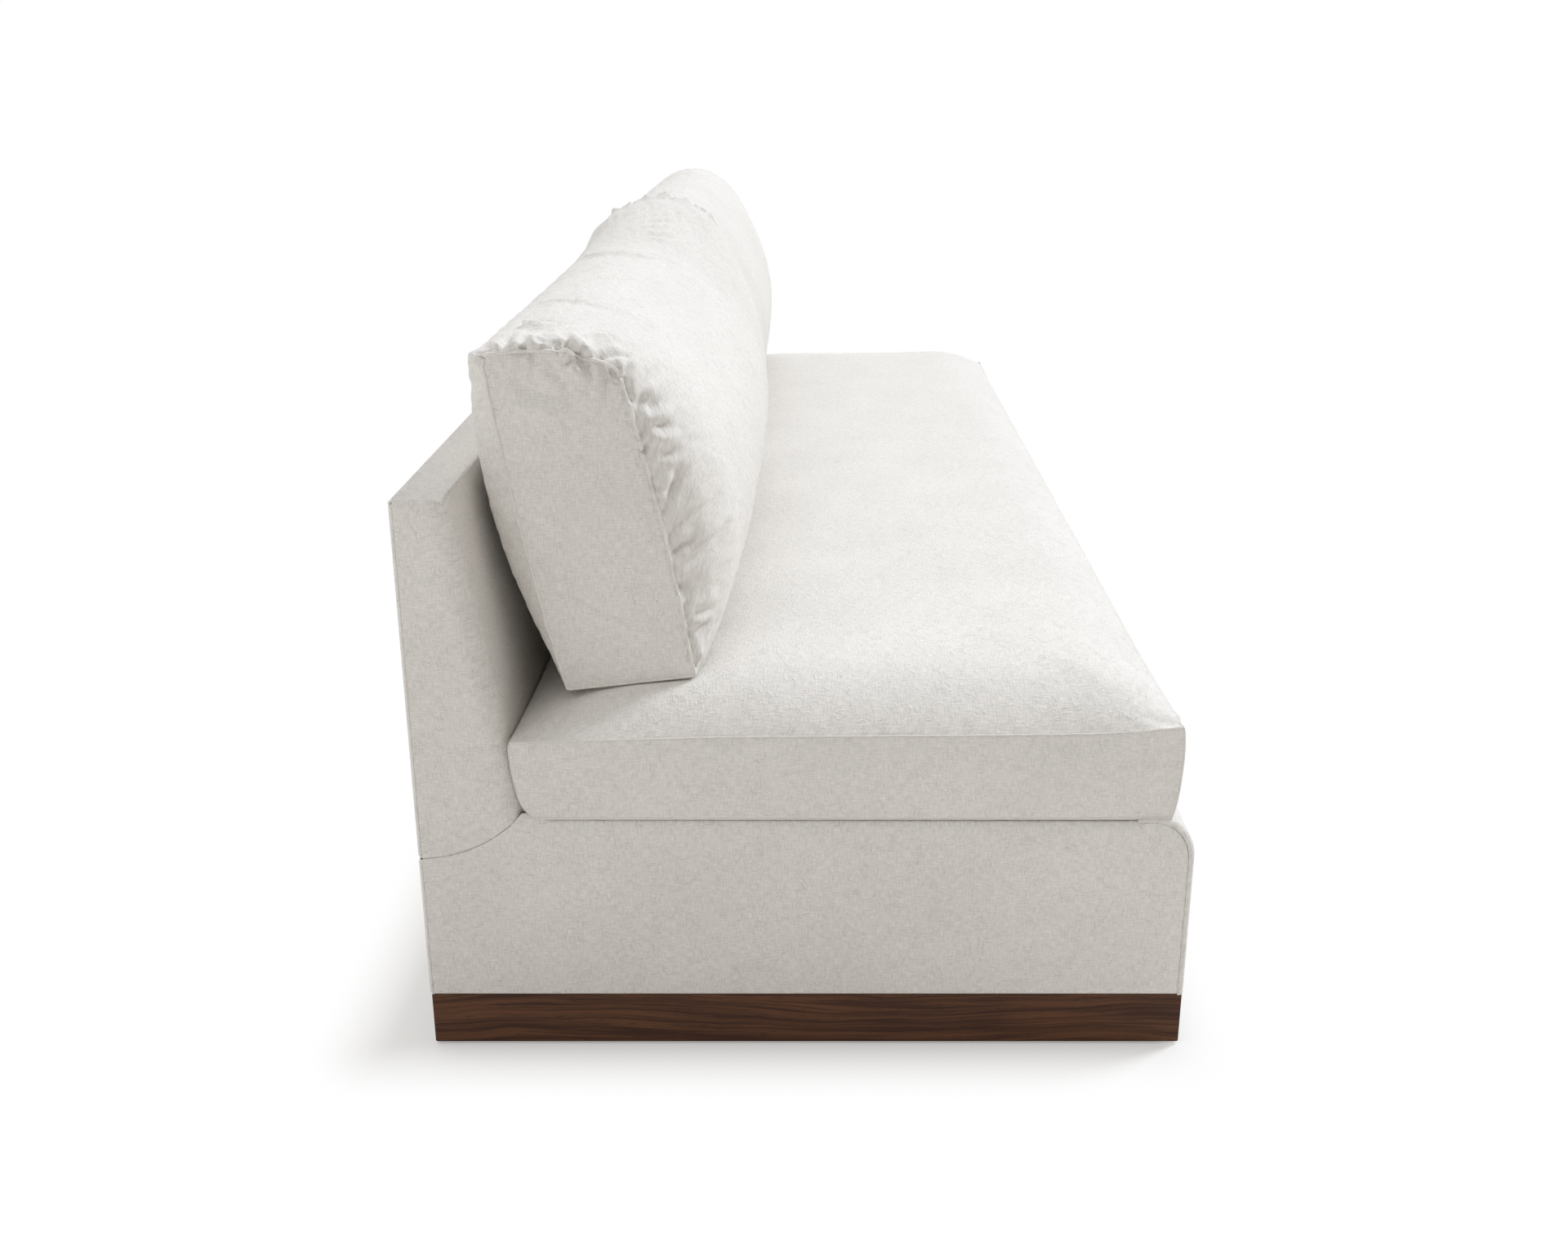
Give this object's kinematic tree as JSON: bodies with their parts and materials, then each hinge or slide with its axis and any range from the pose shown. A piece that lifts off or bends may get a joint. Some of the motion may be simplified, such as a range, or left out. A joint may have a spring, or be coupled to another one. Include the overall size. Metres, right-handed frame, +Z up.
{
  "type": "armless settee",
  "caption": "Armless upholstered settee: loose bench seat cushion, loose plump back cushions leaning on a low raked back, and a dark wood plinth.",
  "frame": {"origin": "on the floor under the middle of the settee's box", "axes": "+X along the length to the right end seen from the front, +Y from the front to the back rest, +Z up"},
  "size_m": [2.13, 0.932, 0.9276],
  "materials": {
    "walnut": "dark stained walnut, satin, horizontal grain",
    "timber": "sawn hardwood and plywood, unfinished",
    "linen": "warm off-white slubbed linen weave, matte",
    "foam": "open-cell upholstery foam",
    "wadding": "white polyester wadding",
    "filling": "foam and fibre cushion filling",
    "webbing": "woven elastic webbing",
    "underlay": "black spun-bonded cloth",
    "spring_steel": "drawn spring wire and pressed clips",
    "fixings": "zinc-plated screws and bolts",
    "zip_tape": "woven zip tape with moulded coil",
    "zip_metal": "antique brass",
    "glide": "black nylon"
  },
  "bodies": {
    "frame": {"plinth_front_board": "walnut", "plinth_rear_board": "walnut", "plinth_left_board": "walnut", "plinth_right_board": "walnut", "plinth_corner_blocks": "timber", "plinth_cross_braces": "timber", "base_front_rail": "timber", "base_rear_rail": "timber", "base_left_rail": "timber", "base_right_rail": "timber", "rear_spring_rail": "timber", "base_stretchers": "timber", "base_corner_blocks": "timber", "back_post_left": "timber", "back_post_right": "timber", "back_inner_posts": "timber", "back_lower_rails": "timber", "back_top_rail": "timber", "back_top_dowels": "timber", "deck_cover": "linen", "base_front_cover": "linen", "base_rear_cover": "linen", "base_left_cover": "linen", "base_right_cover": "linen", "back_left_cover": "linen", "back_right_cover": "linen", "back_inside_cover": "linen", "back_outside_cover": "linen", "deck_pad": "foam", "front_edge_foam": "foam", "back_foam": "foam", "base_left_wadding": "wadding", "base_right_wadding": "wadding", "back_left_wadding": "wadding", "back_right_wadding": "wadding", "back_top_pad": "wadding", "rear_wadding_sheet": "wadding", "back_webbing": "webbing", "dust_cover": "underlay", "spring_insulator": "underlay", "seat_springs": "spring_steel", "spring_clips": "spring_steel", "plinth_screws": "fixings", "back_post_bolts": "fixings", "floor_glides": "glide"},
    "seat_cushion": {"seat_cushion_cover": "linen", "seat_cushion_filling": "filling", "seat_cushion_zip": "zip_tape"},
    "seat_zip": {"seat_zip_slider": "zip_metal"},
    "left_back_cushion": {"left_back_cushion_cover": "linen", "left_back_cushion_filling": "filling", "left_back_cushion_zip": "zip_tape"},
    "left_back_zip": {"left_back_zip_slider": "zip_metal"},
    "right_back_cushion": {"right_back_cushion_cover": "linen", "right_back_cushion_filling": "filling", "right_back_cushion_zip": "zip_tape"},
    "right_back_zip": {"right_back_zip_slider": "zip_metal"}
  },
  "joints": [
    {"name": "seat_cushion_slide", "type": "slide", "parent": "frame", "child": "seat_cushion", "axis": [0, -1, 0], "range_m": [0, 0.45]},
    {"name": "left_back_cushion_lift", "type": "slide", "parent": "frame", "child": "left_back_cushion", "axis": [0, 0, 1], "range_m": [0, 0.45]},
    {"name": "right_back_cushion_lift", "type": "slide", "parent": "frame", "child": "right_back_cushion", "axis": [0, 0, 1], "range_m": [0, 0.45]},
    {"name": "seat_zip_run", "type": "slide", "parent": "seat_cushion", "child": "seat_zip", "axis": [1, 0, 0], "range_m": [0, 1.44]},
    {"name": "left_back_zip_run", "type": "slide", "parent": "left_back_cushion", "child": "left_back_zip", "axis": [1, 0, 0], "range_m": [0, 0.74]},
    {"name": "right_back_zip_run", "type": "slide", "parent": "right_back_cushion", "child": "right_back_zip", "axis": [-1, 0, 0], "range_m": [0, 0.74]}
  ]
}
